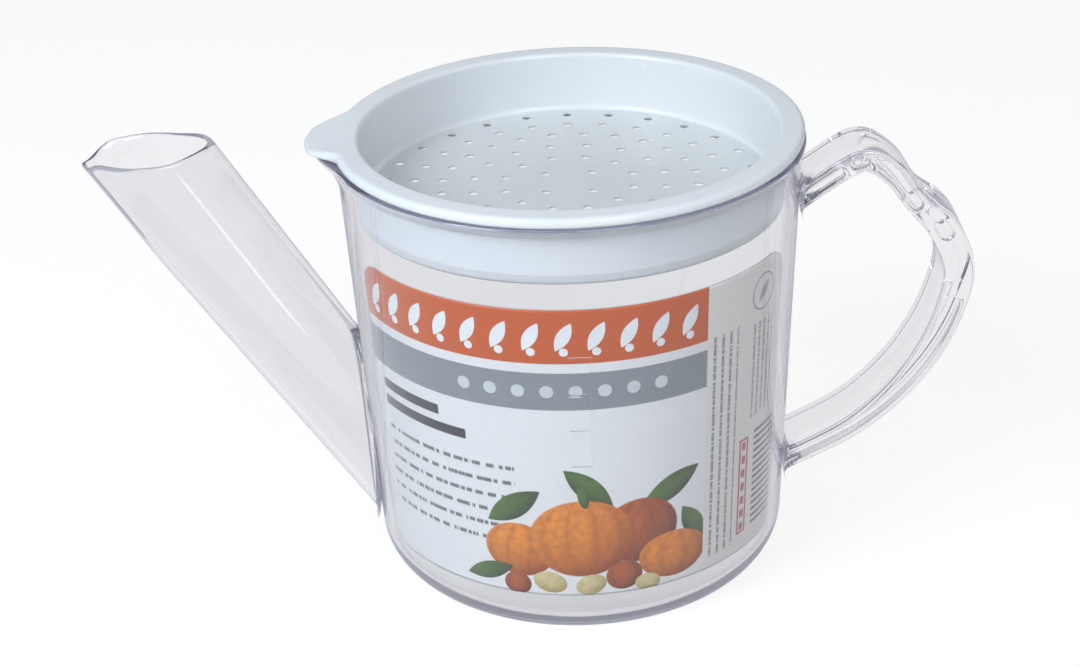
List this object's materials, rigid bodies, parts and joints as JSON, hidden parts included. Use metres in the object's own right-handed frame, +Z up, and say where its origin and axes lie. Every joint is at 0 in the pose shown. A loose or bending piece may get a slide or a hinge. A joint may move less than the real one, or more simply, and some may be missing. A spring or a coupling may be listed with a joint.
{
  "type": "gravy fat separator",
  "caption": "Clear tapered cup with a low-set leaning spout, an open loop handle, a drop-in perforated strainer lid with a thumb tab and a printed card inside the wall.",
  "frame": {"origin": "centre of the cup's flat base, on the surface it stands on", "axes": "+Z up along the cup's axis, spout towards -X, handle towards +X, printed card and raised scale towards -Y"},
  "size_m": [0.2299, 0.1206, 0.1211],
  "materials": {
    "clear_plastic": "clear gloss",
    "white_plastic": "gloss",
    "printed_card": "coated print"
  },
  "bodies": {
    "cup_body": {"cup": "clear_plastic", "spout": "clear_plastic", "handle": "clear_plastic", "label_card": "printed_card"},
    "strainer_body": {"strainer": "white_plastic"}
  },
  "joints": [
    {"name": "strainer_lift", "type": "slide", "parent": "cup_body", "child": "strainer_body", "axis": [0, 0, 1], "range_m": [0, 0.04]}
  ]
}
